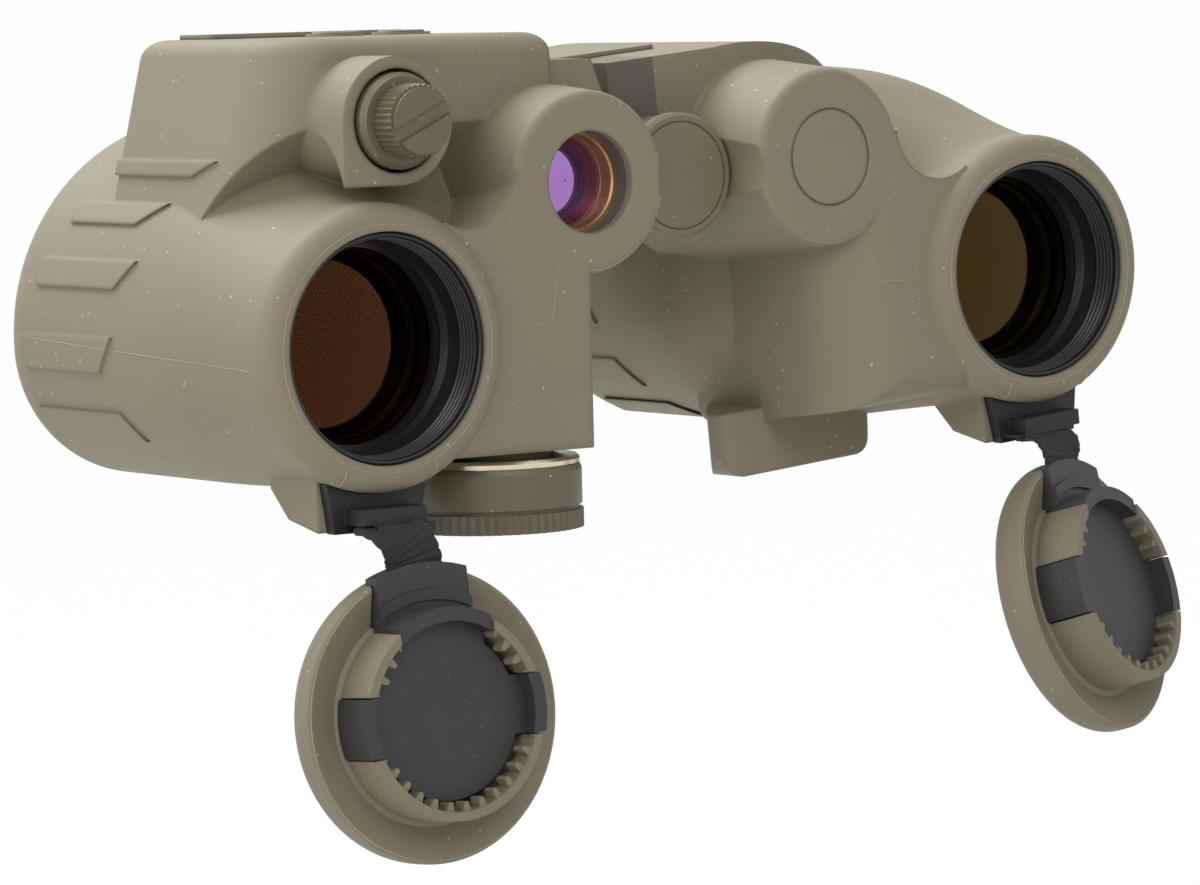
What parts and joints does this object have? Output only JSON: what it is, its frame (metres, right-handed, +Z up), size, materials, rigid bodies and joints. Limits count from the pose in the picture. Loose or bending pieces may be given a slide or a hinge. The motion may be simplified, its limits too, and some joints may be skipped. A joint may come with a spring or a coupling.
{
  "type": "rangefinder binoculars",
  "caption": "Folding Porro-prism binoculars with a laser rangefinder in one half, olive rubber armour and lens caps hanging on webbing straps.",
  "frame": {"origin": "centre of the tripod socket's mouth, under the left half", "axes": "objectives face -Y, eyepieces +Y, +Z up out of the socket, +X towards the left half"},
  "size_m": [0.2146, 0.1677, 0.1567],
  "materials": {
    "armour_rubber": "matte moulded olive rubber",
    "bare_ring": "bare turned metal",
    "battery_can": "plain battery sleeve",
    "black_metal": "matte black anodised",
    "black_plastic": "moulded black plastic",
    "board": "circuit board",
    "brass": "turned brass",
    "cast_metal": "dark olive paint on cast metal",
    "coated_glass": "coated optical glass",
    "eye_rubber": "black rubber",
    "prism_glass": "clear optical glass",
    "steel": "turned steel",
    "webbing": "ribbed black webbing"
  },
  "bodies": {
    "left_barrel": {"left_armour": "armour_rubber", "left_chassis": "cast_metal", "left_rear_cover": "cast_metal", "left_objective_cell": "black_metal", "left_lens_retainer": "black_metal", "left_objective_front_lens": "coated_glass", "left_objective_rear_lens": "coated_glass", "left_prism_a": "prism_glass", "left_prism_b": "prism_glass", "left_prism_bracket": "prism_glass", "left_eyepiece_base": "black_metal", "left_cap_clip": "black_plastic", "tripod_bush": "brass", "left_top_plate": "armour_rubber", "hinge_pin": "steel", "hinge_front_cap": "cast_metal", "hinge_rear_cap": "cast_metal", "hinge_washers": "brass"},
    "right_barrel": {"right_armour": "armour_rubber", "right_chassis": "cast_metal", "right_rear_cover": "cast_metal", "right_objective_cell": "black_metal", "right_lens_retainer": "black_metal", "right_objective_front_lens": "coated_glass", "right_objective_rear_lens": "coated_glass", "right_prism_a": "prism_glass", "right_prism_b": "prism_glass", "right_prism_bracket": "prism_glass", "right_eyepiece_base": "black_metal", "right_cap_clip": "black_plastic", "laser_lens": "coated_glass", "laser_lens_ring": "brass", "laser_module": "black_metal", "circuit_board": "board", "display_module": "black_plastic", "right_top_plate": "armour_rubber", "battery": "battery_can", "battery_contact": "brass", "battery_collar": "bare_ring"},
    "left_focus_ring": {"left_focus_ring": "black_metal"},
    "left_ocular": {"left_ocular_tube": "black_metal", "left_ocular_lenses": "coated_glass", "left_eyecup": "eye_rubber"},
    "left_cap": {"left_cap_strap": "webbing", "left_cap_cover": "armour_rubber", "left_cap_insert": "black_plastic"},
    "right_focus_ring": {"right_focus_ring": "black_metal"},
    "right_ocular": {"right_ocular_tube": "black_metal", "right_ocular_lenses": "coated_glass", "right_eyecup": "eye_rubber"},
    "right_cap": {"right_cap_strap": "webbing", "right_cap_cover": "armour_rubber", "right_cap_insert": "black_plastic"},
    "range_button": {"range_button": "eye_rubber"},
    "mode_button": {"mode_button": "eye_rubber"},
    "battery_cap": {"battery_cap": "cast_metal"},
    "port_cap": {"port_cap": "cast_metal"}
  },
  "joints": [
    {"name": "hinge_fold", "type": "hinge", "parent": "left_barrel", "child": "right_barrel", "pos_m": [-0.0338, -0.001, 0.0632], "axis": [0, -1, 0], "range_deg": [-4, 30]},
    {"name": "left_focus", "type": "hinge", "parent": "left_barrel", "child": "left_focus_ring", "pos_m": [-0.0008, 0.066, 0.0512], "axis": [0, 1, 0], "range_deg": [-120, 120]},
    {"name": "left_ocular_slide", "type": "slide", "parent": "left_barrel", "child": "left_ocular", "axis": [0, 1, 0], "range_m": [-0.003, 0.003]},
    {"name": "right_focus", "type": "hinge", "parent": "right_barrel", "child": "right_focus_ring", "pos_m": [-0.06775, 0.066, 0.05424], "axis": [0, 1, 0], "range_deg": [-120, 120]},
    {"name": "right_ocular_slide", "type": "slide", "parent": "right_barrel", "child": "right_ocular", "axis": [0, 1, 0], "range_m": [-0.003, 0.003]},
    {"name": "range_button_press", "type": "slide", "parent": "right_barrel", "child": "range_button", "axis": [-0.0906, 0, -0.9959], "range_m": [0, 0.001], "stiffness_N_per_m": 900, "springref_m": -0.001},
    {"name": "mode_button_press", "type": "slide", "parent": "right_barrel", "child": "mode_button", "axis": [-0.0906, 0, -0.9959], "range_m": [0, 0.001], "stiffness_N_per_m": 900, "springref_m": -0.001},
    {"name": "battery_cap_turn", "type": "hinge", "parent": "right_barrel", "child": "battery_cap", "pos_m": [-0.08007, -0.018, 0.00716], "axis": [0.0906, 0, 0.9959], "continuous": true},
    {"name": "port_cap_turn", "type": "hinge", "parent": "right_barrel", "child": "port_cap", "pos_m": [-0.10234, -0.038, 0.08239], "axis": [0, 1, 0], "continuous": true},
    {"name": "left_cap_swing", "type": "hinge", "parent": "left_barrel", "child": "left_cap", "pos_m": [0.04033, -0.04105, 0.00165], "axis": [-0.9766, -0.189, 0.1024], "range_deg": [-15, 162.92]},
    {"name": "right_cap_swing", "type": "hinge", "parent": "right_barrel", "child": "right_cap", "pos_m": [-0.11416, -0.04105, 0.00771], "axis": [-0.999, 0, 0.0436], "range_deg": [-5, 175]}
  ],
  "couplings": [
    {"joint": "left_focus", "follows": "left_ocular_slide", "rad_per_m": 698.13},
    {"joint": "right_focus", "follows": "right_ocular_slide", "rad_per_m": 698.13}
  ]
}
